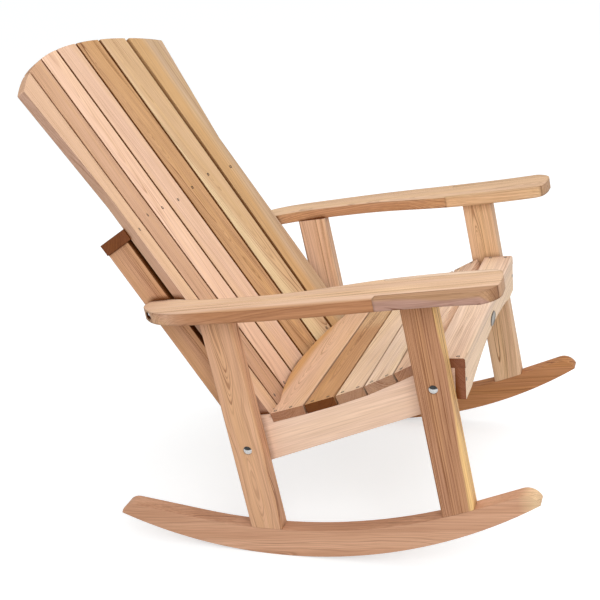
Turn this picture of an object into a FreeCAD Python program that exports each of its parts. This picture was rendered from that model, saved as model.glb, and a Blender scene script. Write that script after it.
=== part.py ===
"""Cedar porch rocking chair with slatted seat and fanned back, millimetres.

The chair is drawn square to its legs: x to the sitter's left, y backwards, z up along the legs.
It is then leaned back to the angle at which it rests on its rockers and set down on the floor.
"""
import FreeCAD, Part
import math
import os

V = FreeCAD.Vector
os.makedirs("parts", exist_ok=True)

# Fits
gap_curved = 0.3          # between two curved faces, and round every bolt
cut_reach = 1500.0        # cutting blocks are longer than any piece
density = {"wood": 600.0, "steel": 7850.0}

# Legs
frame_half_width = 330.0  # middle of the chair to the outer face of a leg
leg_thickness = 35.0
leg_width = 64.0
rear_leg_back = 0.0       # back edge of each leg, y
front_leg_back = -390.0
leg_edge_radius = 4.0

# Rockers: the sole is one arc; the top is an arc between two straight ends
sole_radius = 922.8
sole_centre_y = -173.6
sole_centre_z = 683.5
rocker_depth = 56.5       # from the top of the arc to the sole, between the legs
rocker_top_radius = 1090.0
rocker_top_y = -188.2
rocker_nose_y = -578.0
rocker_tail_y = 280.0
rocker_tail_straight = 105.0
rocker_corner = 28.0

# Side rails of the seat
rail_thickness = 19.0
rail_rear_y = -4.0
rail_bottom_y = -63.6     # a point on the lower edge
rail_bottom_z = -39.1
rail_bottom_slope = 0.2327
rail_ledge_z = 50.0       # top of the rail behind the seat

# Seat slats: the rail is planed to a flat for each of the first five
seat_rear_y = -86.0
seat_rear_z = 40.0
seat_pitches = [73.0, 67.8, 63.4, 66.0, 65.5]
seat_slopes = [9.8, 11.2, 13.5, 18.3, 19.8]
seat_gap = 4.5            # between slats, measured on the rail
seat_thickness = 18.5
seat_edge_radius = 2.0
seat_bow_radius = 800.0   # rear edge of the first slat
seat_bow_land = 60.0      # straight end of that edge on each side
front_slat_gap = 7.6      # behind the front slat, and its step up
front_slat_step = 0.7
front_slat_width = 62.0
front_slat_drop = 5.0     # degrees below level
front_slat_radius = 4.0

# Front apron
apron_thickness = 19.0
apron_height = 62.0
apron_tilt = 8.2
apron_setback = 1.0
apron_rise = 25.0
apron_flat = 56.0         # straight part of the lower edge at each end

# Back
back_recline = 24.6
back_offset = 87.3        # from the leg corner line to the front of the back
back_side_gap = 1.0       # from the edge of the back to the outer face of the stile
back_curve_radius = 1110.0
back_slat_thickness = 18.0
back_slat_gap = 6.5
back_slat_foot = -22.0
back_gap_middle = 42.5    # centre lines of the three gaps on each side
back_gap_second = 123.2
back_gap_outer = 204.3
back_fan_second = 0.0054  # how far those lines spread per millimetre of height
back_fan_outer = 0.014
back_fan_gap = 0.0048     # widening of the outer gap
back_flare_start = 520.0
back_flare_slope = 0.1444
back_top_radius = 713.7
back_top_centre = 137.8
back_corner_radius = 4.0
back_edge_radius = 2.0

# Rails and stiles behind the back
stile_thickness = 35.0
stile_front = -28.0
stile_depth = 52.0
upper_rail_start = 445.5
upper_rail_height = 24.0
upper_rail_back = -81.5
upper_rail_reach = 2.0    # past the outer face of the stile
lower_rail_start = 2.0
lower_rail_height = 25.0

# Arms: outer points as (past the outer face of the leg, y), inner ones as (past the stile, y)
arm_thickness = 22.65
arm_top_z = 304.0         # at the back edge of the rear leg
arm_slope = 0.0249
arm_outer_edge = [(-8.0, 108.0), (22.0, 76.0), (46.0, -30.0), (55.0, -200.0), (59.0, -548.0)]
arm_front_corner = (44.0, -570.0)
arm_front_edge = [(6.0, -580.0), (-18.0, -579.2), (-38.0, -575.0)]
arm_inner_corner = (3.5, -568.0)
arm_inner_edge = [(-3.0, -553.0), (-8.0, -480.0), (2.0, -330.0), (24.0, -212.0), (28.0, -80.0),
                  (12.0, 35.0)]
arm_tip = (24.0, 118.0)
arm_flat_start = 66.0     # the flat that lies against the stile
arm_flat_end = 110.0
arm_outer_strip = 32.0    # joint of the outer strip, past the leg
arm_outer_strip_y = -361.0
arm_inner_strip = 7.0     # joint of the inner strip, past the stile
arm_inner_strip_y = -360.0

# Bolts, washers and nuts
bolt_radius = 4.0
bolt_head_radius = 9.0
bolt_head_height = 4.6
washer_radius = 9.0
washer_thickness = 1.6
nut_radius = 7.5
nut_height = 6.5
thread_show = 3.0
rear_bolt_setback = 33.6  # from the back edge of the leg
rear_bolt_z = 0.0
front_bolt_setback = 32.0
front_bolt_z = 96.0

# Bolts through the rear tips of the arms
arm_bolt_y = 96.0
arm_bolt_grip = 26.0      # into the stile
arm_bolt_seat = 42.0      # from the stile to the floor of the pocket
arm_bolt_pocket_radius = 8.5
arm_bolt_head_radius = 6.5
arm_bolt_head_height = 5.0

# Screws from the rockers up into the legs
lag_radius = 3.0
lag_head_radius = 6.0
lag_head_height = 4.5
lag_pocket_radius = 7.5
lag_pocket_depth = 22.0
lag_length = 85.0

# Faces and centres that several pieces share
leg_inner_x = frame_half_width - leg_thickness
rail_inner_x = leg_inner_x - rail_thickness
stile_inner_x = rail_inner_x - stile_thickness
leg_middle_x = frame_half_width - leg_thickness / 2
back_half_width = rail_inner_x - back_side_gap
rocker_top_z = sole_centre_z - sole_radius + rocker_depth + rocker_top_radius
arm_bottom_z = arm_top_z - arm_thickness
arm_bolt_z = arm_top_z - arm_thickness / 2 + arm_slope * arm_bolt_y
arm_bolt_end_x = rail_inner_x - arm_bolt_grip
arm_bolt_pocket_x = rail_inner_x + arm_bolt_seat
rear_bolt_y = rear_leg_back - rear_bolt_setback
front_bolt_y = front_leg_back - front_bolt_setback

nodes = {}
kinds = {}


def add(name, shapes, kind="wood"):
    """Keep a node as a list of solids."""
    group = shapes if isinstance(shapes, list) else [shapes]
    nodes[name] = [solid for shape in group for solid in shape.Solids]
    kinds[name] = kind


def mirror(shape):
    """The same piece on the other side of the chair."""
    return shape.mirror(V(0, 0, 0), V(1, 0, 0))


def add_pair(name, shape):
    """A piece on the sitter's left and its twin on the right."""
    add("left_" + name, shape)
    add("right_" + name, mirror(shape))


def add_both(name, shapes, kind):
    """One node that holds the pieces of both sides."""
    add(name, shapes + [mirror(s) for s in shapes], kind)


def line(p, q):
    return Part.LineSegment(p, q).toShape()


def arc(p, middle, q):
    return Part.Arc(p, middle, q).toShape()


def slab(edges, direction):
    """A closed outline pushed along a direction."""
    return Part.Face(Part.Wire(Part.__sortEdges__(edges))).extrude(direction)


def side_board(points, x_start, x_end):
    """A board with its outline given as (y, z) corners and its thickness along x."""
    corners = [V(x_start, y, z) for y, z in points]
    outline = Part.makePolygon(corners + corners[:1])
    return Part.Face(outline).extrude(V(x_end - x_start, 0, 0))


def ease(shape, radius, chosen):
    """Round the edges that pass a test."""
    return shape.makeFillet(radius, [e for e in shape.Edges if chosen(e)])


def along_x(edge):
    """True for a straight edge that runs across the chair."""
    ends = [v.Point for v in edge.Vertexes]
    if len(ends) < 2:
        return False
    step = ends[1] - ends[0]
    return abs(step.x) > 0.99 * step.Length and abs(edge.Length - step.Length) < 1e-6


def rod(radius, start, direction, length):
    return Part.makeCylinder(radius, length, start, direction)


def rod_x(radius, x_start, x_end, y, z):
    return rod(radius, V(x_start, y, z), V(1, 0, 0), x_end - x_start)


def circle_z(y, centre_y, centre_z, radius):
    """Height of the lower half of a circle."""
    return centre_z - math.sqrt(radius ** 2 - (y - centre_y) ** 2)


def rocker_sole(y):
    return circle_z(y, sole_centre_y, sole_centre_z, sole_radius)


def rocker_top(y, above=0.0):
    return circle_z(y, rocker_top_y, rocker_top_z, rocker_top_radius - above)


def rocker_straight(start, y):
    """Height at y of the line that leaves the top arc at a given start."""
    run = start - rocker_top_y
    slope = run / math.sqrt(rocker_top_radius ** 2 - run ** 2)
    return rocker_top(start) + slope * (y - start)


def arm_underside(y):
    return arm_bottom_z + arm_slope * y


def rail_bottom(y):
    return rail_bottom_z + rail_bottom_slope * (rail_bottom_y - y)


# Rockers

def rocker():
    """A blank with two rounded upper corners, sawn below to the arc of the sole."""
    nose_start = front_leg_back - leg_width
    tail_start = rocker_tail_straight
    top = [(rocker_nose_y, rocker_straight(nose_start, rocker_nose_y)),
           (nose_start, rocker_top(nose_start)),
           (rocker_top_y, rocker_top(rocker_top_y)),
           (tail_start, rocker_top(tail_start)),
           (rocker_tail_y, rocker_straight(tail_start, rocker_tail_y))]
    nose, left, middle, right, tail = [V(leg_inner_x, y, z) for y, z in top]
    nose_foot = V(leg_inner_x, rocker_nose_y, -cut_reach)
    tail_foot = V(leg_inner_x, rocker_tail_y, -cut_reach)
    edges = [line(nose_foot, nose), line(nose, left), arc(left, middle, right), line(right, tail),
             line(tail, tail_foot), line(tail_foot, nose_foot)]
    blank = slab(edges, V(leg_thickness, 0, 0))
    for end in (nose, tail):
        blank = ease(blank, rocker_corner,
                     lambda e: along_x(e) and (e.CenterOfMass - end).Length < leg_thickness)
    return blank.common(rod_x(sole_radius, leg_inner_x - 1, frame_half_width + 1,
                              sole_centre_y, sole_centre_z))


# Legs

def leg(back_y):
    """A board with rounded edges, cut to the arm above and to the rocker below."""
    front_y = back_y - leg_width
    foot = [V(leg_inner_x, y, rocker_top(y, gap_curved))
            for y in (front_y, back_y - leg_width / 2, back_y)]
    head = [V(leg_inner_x, y, arm_underside(y)) for y in (front_y, back_y)]
    edges = [arc(*foot), line(foot[2], head[1]), line(head[1], head[0]), line(head[0], foot[0])]
    body = slab(edges, V(leg_thickness, 0, 0))
    return ease(body, leg_edge_radius, lambda e: e.Length > 3 * leg_width)


# Seat rails and slats

def seat_flats():
    """Corners of the flats planed on the rail, from the back forwards."""
    points = [(seat_rear_y, seat_rear_z)]
    for pitch, slope in zip(seat_pitches, seat_slopes):
        y, z = points[-1]
        turn = math.radians(slope)
        points.append((y - pitch * math.cos(turn), z + pitch * math.sin(turn)))
    return points


def front_slat_point(forward, up):
    """A point measured from the rear lower corner of the front slat."""
    drop = math.radians(front_slat_drop)
    last_y, last_z = seat_flats()[-1]
    y = last_y - front_slat_gap - forward * math.cos(drop) - up * math.sin(drop)
    z = last_z + front_slat_step - forward * math.sin(drop) + up * math.cos(drop)
    return (y, z)


def apron_profile():
    """Front top, rear top, rear bottom and front bottom corners of the apron."""
    tilt = math.radians(apron_tilt)
    down = (math.sin(tilt), -math.cos(tilt))
    front = front_slat_point(front_slat_width - apron_setback, 0)
    rear = front_slat_point(front_slat_width - apron_setback - apron_thickness, 0)
    foot = (front[0] + apron_height * down[0], front[1] + apron_height * down[1])
    rear_drop = apron_height - apron_thickness * math.sin(tilt - math.radians(front_slat_drop))
    heel = (rear[0] + rear_drop * down[0], rear[1] + rear_drop * down[1])
    return [front, rear, heel, foot]


def side_rail():
    """Plank on edge: planed flats for the slats above, one long slope below."""
    lean_back = math.tan(math.radians(seat_slopes[0]))
    ledge_y = seat_rear_y + (rail_ledge_z - seat_rear_z) * lean_back
    apron_y, apron_z = apron_profile()[1]
    tilt = math.radians(apron_tilt)
    fall = (apron_z - rail_bottom(apron_y)) / (math.cos(tilt) - rail_bottom_slope * math.sin(tilt))
    heel_y = apron_y + fall * math.sin(tilt)
    points = [(rail_rear_y, rail_bottom(rail_rear_y)), (rail_rear_y, rail_ledge_z),
              (ledge_y, rail_ledge_z)]
    points += seat_flats()
    points += [front_slat_point(0, 0), (apron_y, apron_z), (heel_y, rail_bottom(heel_y))]
    board = side_board(points, rail_inner_x, leg_inner_x)
    for y, z in ((rear_bolt_y, rear_bolt_z), (front_bolt_y, front_bolt_z)):
        board = board.cut(rod_x(bolt_radius + gap_curved, rail_inner_x - 1, leg_inner_x + 1, y, z))
    return board


def seat_slat(index):
    """A flat board laid across both rails; the first has a bowed rear edge."""
    rear = seat_flats()[index]
    turn = math.radians(seat_slopes[index])
    ahead = V(0, -math.cos(turn), math.sin(turn))
    up = V(0, math.sin(turn), math.cos(turn))
    across = V(1, 0, 0)
    corner = V(0, rear[0], rear[1])
    bow_half = leg_inner_x - seat_bow_land
    bow_depth = seat_bow_radius - math.sqrt(seat_bow_radius ** 2 - bow_half ** 2)
    start = -bow_depth if index == 0 else seat_gap / 2
    end = seat_pitches[index] - seat_gap / 2
    side = leg_inner_x

    def plank(x_half, first, last):
        points = [corner + across * x + ahead * f
                  for x, f in ((-x_half, first), (x_half, first), (x_half, last), (-x_half, last))]
        return Part.Face(Part.makePolygon(points + points[:1])).extrude(up * seat_thickness)

    board = plank(side, start, end)
    if index == 0:
        bow = rod(seat_bow_radius, corner + ahead * (start + seat_bow_radius) - up, up,
                  seat_thickness + 2)
        waste = plank(side + 1, start - 1, 0.0).cut(bow)
        board = board.cut(waste).Solids[0]

    def upper_long(e):
        height = (e.CenterOfMass - corner).dot(up)
        return abs(height - seat_thickness) < 0.01 and e.Length > 2 * seat_edge_radius + seat_thickness \
            and abs(e.CenterOfMass.x) < side - 1

    return ease(board, seat_edge_radius, upper_long)


def front_slat():
    """The slat over the apron, with a rounder leading edge than the others."""
    corners = [front_slat_point(0, 0), front_slat_point(0, seat_thickness),
               front_slat_point(front_slat_width, seat_thickness),
               front_slat_point(front_slat_width, 0)]
    board = side_board(corners, -leg_inner_x, leg_inner_x)
    lead = corners[2]
    tail = corners[1]
    board = ease(board, front_slat_radius,
                 lambda e: along_x(e) and abs(e.CenterOfMass.y - lead[0]) < 0.01)
    return ease(board, seat_edge_radius,
                lambda e: along_x(e) and abs(e.CenterOfMass.y - tail[0]) < 0.01)


def front_apron():
    """Board below the front slat with a shallow arch cut in its lower edge."""
    board = side_board(apron_profile(), -leg_inner_x, leg_inner_x)
    front, rear, heel, foot = apron_profile()
    tilt = math.radians(apron_tilt)
    half = leg_inner_x - apron_flat
    radius = (half ** 2 + apron_rise ** 2) / (2 * apron_rise)
    drop = radius - apron_rise
    centre = V(0, foot[0] + drop * math.sin(tilt), foot[1] - drop * math.cos(tilt))
    inward = V(0, math.cos(tilt), math.sin(tilt))
    cutter = rod(radius, centre - inward * apron_thickness, inward, 3 * apron_thickness)
    return board.cut(cutter)


# Back

recline = math.radians(back_recline)
back_origin = V(0, -math.cos(recline) * back_offset, math.sin(recline) * back_offset)
back_place = FreeCAD.Placement(back_origin, FreeCAD.Rotation(V(1, 0, 0), 90 - back_recline))


def on_back(shape):
    """Place a piece drawn as (across, up the back, out of the back)."""
    moved = shape.copy()
    moved.Placement = back_place
    return moved


def back_depth(x):
    """How far the hollow of the back lies behind its outer edges."""
    edge = math.sqrt(back_curve_radius ** 2 - back_half_width ** 2)
    return edge - math.sqrt(back_curve_radius ** 2 - x ** 2)


def gap_line(index, s):
    """Middle of the gap counted outwards from the centre slat."""
    starts = [back_gap_middle, back_gap_second, back_gap_outer]
    fans = [0.0, back_fan_second, back_fan_outer]
    return starts[index] + fans[index] * s


def slat_edges(place, s):
    """Inner and outer edge of slat 0 (centre) to 3 (outermost) at a height up the back."""
    half = back_slat_gap / 2
    widen = back_fan_gap / 2 * s
    outer_limit = back_half_width + back_flare_slope * max(0.0, s - back_flare_start)
    inner = [-gap_line(0, s) + half, gap_line(0, s) + half,
             gap_line(1, s) + half, gap_line(2, s) + half + widen]
    outer = [gap_line(0, s) - half, gap_line(1, s) - half,
             gap_line(2, s) - half - widen, outer_limit]
    return inner[place], outer[place]


def slat_plane(place):
    """Slope and starting depth of the flat front of a slat."""
    inner, outer = slat_edges(place, 0.0)
    slope = (back_depth(outer) - back_depth(inner)) / (outer - inner)
    return slope, back_depth(inner) - slope * inner


def slat_front(place, x):
    slope, start = slat_plane(place)
    return start + slope * x


def slat_rear(place, x):
    slope, start = slat_plane(place)
    return start + slope * x - back_slat_thickness * math.sqrt(1 + slope ** 2)


def back_slat(place):
    """A flat board; its head lies on the arch that crowns the whole back."""
    head = back_top_centre + back_top_radius + back_slat_thickness
    stations = [back_slat_foot, head]
    if place == 3:
        stations.insert(1, back_flare_start)
    inner = [V(slat_edges(place, s)[0], s, slat_front(place, slat_edges(place, s)[0]))
             for s in (back_slat_foot, head)]
    outer = [V(slat_edges(place, s)[1], s, slat_front(place, slat_edges(place, s)[1]))
             for s in stations]
    corners = inner + outer[::-1]
    slope = slat_plane(place)[0]
    depth = back_slat_thickness * math.sqrt(1 + slope ** 2)
    face = Part.Face(Part.makePolygon(corners + corners[:1]))
    board = face.extrude(V(0, 0, -depth))
    crown = rod(back_top_radius, V(0, back_top_centre, -cut_reach), V(0, 0, 1), 2 * cut_reach)
    board = board.common(crown).Solids[0]

    def thickness_edge(e):
        return abs(e.Length - depth) < 0.01

    if place == 3:
        far = max(e.CenterOfMass.x for e in board.Edges if thickness_edge(e))
        return ease(board, back_corner_radius,
                    lambda e: thickness_edge(e) and e.CenterOfMass.x > far - 0.01)
    return ease(board, back_edge_radius, lambda e: e.Length > back_flare_start / 3)


def meeting_x(inner_place):
    """Where the rear planes of two neighbouring slats meet."""
    slope_in = slat_plane(inner_place)[0]
    slope_out = slat_plane(inner_place + 1)[0]
    rise = slat_rear(inner_place + 1, 0.0) - slat_rear(inner_place, 0.0)
    return rise / (slope_in - slope_out)


def cross_rail(start, height, half_length, rear):
    """A rail across the back, planed in front to seven flats for the slats."""
    right = [(meeting_x(k), slat_rear(k, meeting_x(k))) for k in range(3)]
    right.append((half_length, slat_rear(3, half_length)))
    left = [(-x, n) for x, n in right[::-1]]
    points = left + right + [(half_length, rear), (-half_length, rear)]
    corners = [V(x, start, n) for x, n in points]
    board = Part.Face(Part.makePolygon(corners + corners[:1])).extrude(V(0, height, 0))
    return board


def stile():
    """Upright behind the back, cut at its foot in line with the seat rail."""
    rear = stile_front - stile_depth
    s_top = upper_rail_start
    corners = []
    for n, s in ((stile_front, s_top), (rear, s_top), (rear, -s_top), (stile_front, -s_top)):
        corners.append(V(stile_inner_x, s, n))
    board = Part.Face(Part.makePolygon(corners + corners[:1])).extrude(V(stile_thickness, 0, 0))
    board = on_back(board)
    far = cut_reach
    below = [(-far, rail_bottom(-far)), (far, rail_bottom(far)), (far, -far), (-far, -far)]
    board = board.cut(side_board(below, stile_inner_x - 1, rail_inner_x + 1)).Solids[0]
    board = board.cut(rod_x(bolt_radius + gap_curved, stile_inner_x - 1, rail_inner_x + 1,
                            rear_bolt_y, rear_bolt_z))
    return board.cut(rod_x(bolt_radius + gap_curved, arm_bolt_end_x - 1, rail_inner_x + 1,
                           arm_bolt_y, arm_bolt_z))


# Arms

def smooth(points):
    """One curve through several points."""
    curve = Part.BSplineCurve()
    curve.interpolate(points)
    return curve.toShape()


def plan(start_x, points):
    """Points of the arm's plan, measured outwards from a face of the frame."""
    return [V(start_x + x, y, 0) for x, y in points]


def arm():
    """Plan of the arm: rounded tip behind, waist inside, broad hand rest in front."""
    outer = plan(frame_half_width, arm_outer_edge)
    front_corner, = plan(frame_half_width, [arm_front_corner])
    front = plan(frame_half_width, arm_front_edge)
    inner_corner, tip = plan(rail_inner_x, [arm_inner_corner, arm_tip])
    inner = plan(rail_inner_x, arm_inner_edge + [(0, arm_flat_start)])
    flat_end = V(rail_inner_x, arm_flat_end, 0)
    edges = [arc(flat_end, tip, outer[0]), smooth(outer), arc(outer[-1], front_corner, front[0]),
             arc(*front), arc(front[-1], inner_corner, inner[0]), smooth(inner),
             line(inner[-1], flat_end)]
    board = slab(edges, V(0, 0, arm_thickness))
    turn = math.degrees(math.atan(arm_slope))
    board.Placement = FreeCAD.Placement(V(0, 0, arm_bottom_z), FreeCAD.Rotation(V(1, 0, 0), turn))
    pocket = rod_x(arm_bolt_pocket_radius, arm_bolt_pocket_x, cut_reach, arm_bolt_y, arm_bolt_z)
    return board.cut(arm_bolt(gap_curved)).cut(pocket)


def arm_bolt(extra=0.0):
    """Bolt from the outer edge of the arm into the stile."""
    shank = rod_x(bolt_radius + extra, arm_bolt_end_x, arm_bolt_pocket_x, arm_bolt_y, arm_bolt_z)
    if extra:
        return shank
    head = rod_x(arm_bolt_head_radius, arm_bolt_pocket_x,
                 arm_bolt_pocket_x + arm_bolt_head_height, arm_bolt_y, arm_bolt_z)
    return shank.fuse(head).removeSplitter()


def front_block(x_start, x_end, y_end):
    """A tall cutting block in front of y_end, over a strip of the plan."""
    return Part.makeBox(x_end - x_start, cut_reach, 2 * cut_reach,
                        V(x_start, y_end - cut_reach, -cut_reach))


# Fasteners

def dome_bolt(length, y, z):
    """Round-headed bolt pushed in from the outer face of a leg."""
    sphere_radius = (bolt_head_radius ** 2 + bolt_head_height ** 2) / (2 * bolt_head_height)
    centre = frame_half_width + bolt_head_height - sphere_radius
    ball = Part.makeSphere(sphere_radius, V(centre, y, z))
    keep = rod_x(bolt_head_radius, frame_half_width, frame_half_width + bolt_head_height, y, z)
    head = ball.common(keep)
    shank = rod_x(bolt_radius, frame_half_width - length, frame_half_width, y, z)
    return head.fuse(shank).removeSplitter()


def washer(x_face, y, z):
    ring = rod_x(washer_radius, x_face - washer_thickness, x_face, y, z)
    return ring.cut(rod_x(bolt_radius + gap_curved, x_face - 2 * washer_thickness, x_face + 1, y, z))


def nut(x_face, y, z):
    corners = []
    for k in range(6):
        turn = math.radians(60 * k)
        corners.append(V(x_face - nut_height, y + nut_radius * math.cos(turn),
                         z + nut_radius * math.sin(turn)))
    body = Part.Face(Part.makePolygon(corners + corners[:1])).extrude(V(nut_height, 0, 0))
    return body.cut(rod_x(bolt_radius + gap_curved, x_face - 2 * nut_height, x_face + 1, y, z))


def lag_screw(y, extra=0.0):
    """Headed screw standing in a pocket in the rocker and running up into the leg."""
    seat = rocker_sole(y) + lag_pocket_depth
    up = V(0, 0, 1)
    shank = rod(lag_radius + extra, V(leg_middle_x, y, seat - extra), up, lag_length + 2 * extra)
    if extra:
        pocket = rod(lag_pocket_radius, V(leg_middle_x, y, seat - 2 * lag_pocket_depth), up,
                     2 * lag_pocket_depth)
        return shank.fuse(pocket)
    head = rod(lag_head_radius, V(leg_middle_x, y, seat - lag_head_height), up, lag_head_height)
    return shank.fuse(head).removeSplitter()


# Assemble in the frame of the legs

rocker_body = rocker()
rear_leg = leg(rear_leg_back)
front_leg = leg(front_leg_back)
lag_places = [back - leg_width / 2 for back in (rear_leg_back, front_leg_back)]
for place in lag_places:
    hole = lag_screw(place, gap_curved)
    rocker_body = rocker_body.cut(hole)
    rear_leg = rear_leg.cut(hole)
    front_leg = front_leg.cut(hole)
leg_bolt_hole = bolt_radius + gap_curved
rear_leg = rear_leg.cut(rod_x(leg_bolt_hole, leg_inner_x - 1, frame_half_width + 1,
                              rear_bolt_y, rear_bolt_z))
front_leg = front_leg.cut(rod_x(leg_bolt_hole, leg_inner_x - 1, frame_half_width + 1,
                                front_bolt_y, front_bolt_z))
add_pair("rocker", rocker_body)
add_pair("rear_leg", rear_leg)
add_pair("front_leg", front_leg)
add_pair("side_rail", side_rail())

for number in range(5):
    add("seat_slat_%d" % (number + 1), seat_slat(number))
add("seat_slat_6", front_slat())
add("front_apron", front_apron())

add("back_slat_centre", on_back(back_slat(0)))
for place, name in ((1, "inner"), (2, "middle"), (3, "outer")):
    board = on_back(back_slat(place))
    add("left_back_slat_" + name, board)
    add("right_back_slat_" + name, mirror(board))
add("upper_back_rail", on_back(cross_rail(upper_rail_start, upper_rail_height,
                                          rail_inner_x + upper_rail_reach, upper_rail_back)))
add("lower_back_rail", on_back(cross_rail(lower_rail_start, lower_rail_height,
                                          stile_inner_x, stile_front - stile_depth)))
add_pair("back_stile", stile())

whole_arm = arm()
outer_block = front_block(frame_half_width + arm_outer_strip, cut_reach, arm_outer_strip_y)
inner_block = front_block(0, rail_inner_x + arm_inner_strip, arm_inner_strip_y)
add_pair("arm", whole_arm.cut(outer_block).cut(inner_block))
add_pair("arm_outer_strip", whole_arm.common(outer_block))
add_pair("arm_inner_strip", whole_arm.common(inner_block))

rear_face = stile_inner_x
front_face = rail_inner_x
stack = washer_thickness + nut_height + thread_show
rear_length = frame_half_width - rear_face + stack
front_length = frame_half_width - front_face + stack
add_both("carriage_bolts", [dome_bolt(rear_length, rear_bolt_y, rear_bolt_z),
                            dome_bolt(front_length, front_bolt_y, front_bolt_z)], "steel")
add_both("bolt_washers", [washer(rear_face, rear_bolt_y, rear_bolt_z),
                          washer(front_face, front_bolt_y, front_bolt_z)], "steel")
add_both("bolt_nuts", [nut(rear_face - washer_thickness, rear_bolt_y, rear_bolt_z),
                       nut(front_face - washer_thickness, front_bolt_y, front_bolt_z)], "steel")
add_both("arm_bolts", [arm_bolt()], "steel")
add_both("rocker_lag_screws", [lag_screw(place) for place in lag_places], "steel")

# Lean back until the centre of mass hangs below the centre of the rocker arc

mass = 0.0
moment_y = 0.0
moment_z = 0.0
for name, solids in nodes.items():
    for solid in solids:
        part_mass = solid.Volume * density[kinds[name]]
        mass += part_mass
        moment_y += part_mass * solid.CenterOfMass.y
        moment_z += part_mass * solid.CenterOfMass.z
mass_y = moment_y / mass
mass_z = moment_z / mass
lean = math.atan2(mass_y - sole_centre_y, sole_centre_z - mass_z)
leaned = FreeCAD.Placement(V(0, 0, 0), FreeCAD.Rotation(V(1, 0, 0), -math.degrees(lean)))
arc_centre = leaned.multVec(V(0, sole_centre_y, sole_centre_z))

low_y = 1e9
high_y = -1e9
for solids in nodes.values():
    for solid in solids:
        turned = solid.copy()
        turned.Placement = leaned.multiply(solid.Placement)
        reach = [point.y for point in turned.tessellate(0.1)[0]]
        low_y = min(low_y, min(reach))
        high_y = max(high_y, max(reach))
shift = V(0, -(low_y + high_y) / 2, sole_radius - arc_centre.z)
seat_on_floor = FreeCAD.Placement(shift, leaned.Rotation)

for name, solids in nodes.items():
    placed = []
    for solid in solids:
        moved = solid.copy()
        moved.Placement = seat_on_floor.multiply(solid.Placement)
        placed.append(moved)
    shape = placed[0] if len(placed) == 1 else Part.makeCompound(placed)
    shape.exportStep("parts/%s.step" % name)

print("nodes", len(nodes), "lean", round(math.degrees(lean), 3), "shift", shift)
print("mass kg", round(mass * 1e-9, 2), "centre", round(mass_y, 1), round(mass_z, 1))
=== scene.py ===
# %% [markdown]
# # A cedar porch rocker
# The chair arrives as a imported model: every board and bolt is already in its place, in metres, with the
# floor at height zero, the sitter facing -Y and +X on the sitter's left. This lesson gives each board its
# own piece of cedar, adds the small screws and a bare plate, and lights the chair in a plain white room.

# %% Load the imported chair
import math

import bpy
import numpy as np
from mathutils import Matrix, Vector


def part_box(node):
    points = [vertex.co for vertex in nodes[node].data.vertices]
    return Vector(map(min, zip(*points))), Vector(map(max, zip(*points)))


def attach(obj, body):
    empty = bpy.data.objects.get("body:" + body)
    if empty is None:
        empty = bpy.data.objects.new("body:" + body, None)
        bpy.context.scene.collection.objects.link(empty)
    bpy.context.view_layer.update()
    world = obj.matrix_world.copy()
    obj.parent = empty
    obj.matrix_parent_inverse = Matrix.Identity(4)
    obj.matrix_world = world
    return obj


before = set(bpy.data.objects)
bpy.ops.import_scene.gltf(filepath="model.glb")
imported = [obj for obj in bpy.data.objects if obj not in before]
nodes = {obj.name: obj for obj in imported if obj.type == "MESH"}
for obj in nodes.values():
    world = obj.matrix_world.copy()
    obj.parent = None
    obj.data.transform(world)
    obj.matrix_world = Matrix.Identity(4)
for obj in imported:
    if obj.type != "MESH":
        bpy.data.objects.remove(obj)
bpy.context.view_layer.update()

# %% [markdown]
# ## The camera
# The view is from the sitter's right and a little above, with a lens of about 71 mm, which keeps the
# boards nearly parallel. The camera is aimed at a point inside the seat, then turned slightly about its
# own axis, as on a tripod head that isn't quite level.

# %% Place the camera
camera_place = Vector((-2.2361, -0.7552, 1.2653))
camera_aim = Vector((0.0, 0.0286, 0.4158))
camera_roll = math.radians(-4.75)
camera_lens = 71.23
camera_data = bpy.data.cameras.new("portrait_camera")
camera_data.lens = camera_lens
camera = bpy.data.objects.new("portrait_camera", camera_data)
bpy.context.scene.collection.objects.link(camera)
level = (camera_aim - camera_place).to_track_quat("-Z", "Y").to_matrix()
turned = level @ Matrix.Rotation(camera_roll, 3, "Z")
camera.matrix_world = Matrix.Translation(camera_place) @ turned.to_4x4()
bpy.context.scene.camera = camera
print("camera looks along", [round(v, 3) for v in camera_aim - camera_place])

# %% [markdown]
# ## Helpers for node trees
# A material is a small graph, and five helpers keep it readable. The first adds any node and fills its
# inputs: the output of another node is linked, and anything else is set as a value. The others add the
# nodes that come back most often: plain sums, stretched ranges, sums on directions and mixed colours.

# %% Helpers that add nodes
def put(tree, kind, inputs=None, **settings):
    """Add a node, set its properties, then fill or link its inputs."""
    node = tree.nodes.new(kind)
    for name, value in settings.items():
        setattr(node, name, value)
    for name, value in (inputs or {}).items():
        socket = node.inputs[name]
        if isinstance(value, bpy.types.NodeSocket):
            tree.links.new(value, socket)
        else:
            socket.default_value = value
    return node


def calc(tree, operation, a, b=0.0, c=0.0):
    """A Math node on up to three values, giving its result."""
    inputs = {0: a, 1: b}
    if operation == "MULTIPLY_ADD":
        inputs[2] = c
    return put(tree, "ShaderNodeMath", inputs, operation=operation).outputs[0]


def remap(tree, value, low, high, to_low=0.0, to_high=1.0):
    """Stretch a range of values to another range and clamp it."""
    ends = {"Value": value, "From Min": low, "From Max": high, "To Min": to_low, "To Max": to_high}
    return put(tree, "ShaderNodeMapRange", ends).outputs[0]


def vector(tree, operation, a, b=(0, 0, 0), result=0):
    """A Vector Math node, giving one of its results: 0 is a vector and 1 a plain value."""
    return put(tree, "ShaderNodeVectorMath", {0: a, 1: b}, operation=operation).outputs[result]


def blend(tree, factor, a, b, kind="MIX"):
    """A colour mix, giving its result."""
    node = put(tree, "ShaderNodeMix", {0: factor, 6: a, 7: b}, data_type="RGBA", blend_type=kind)
    return node.outputs[2]


print("node helpers ready")

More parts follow.
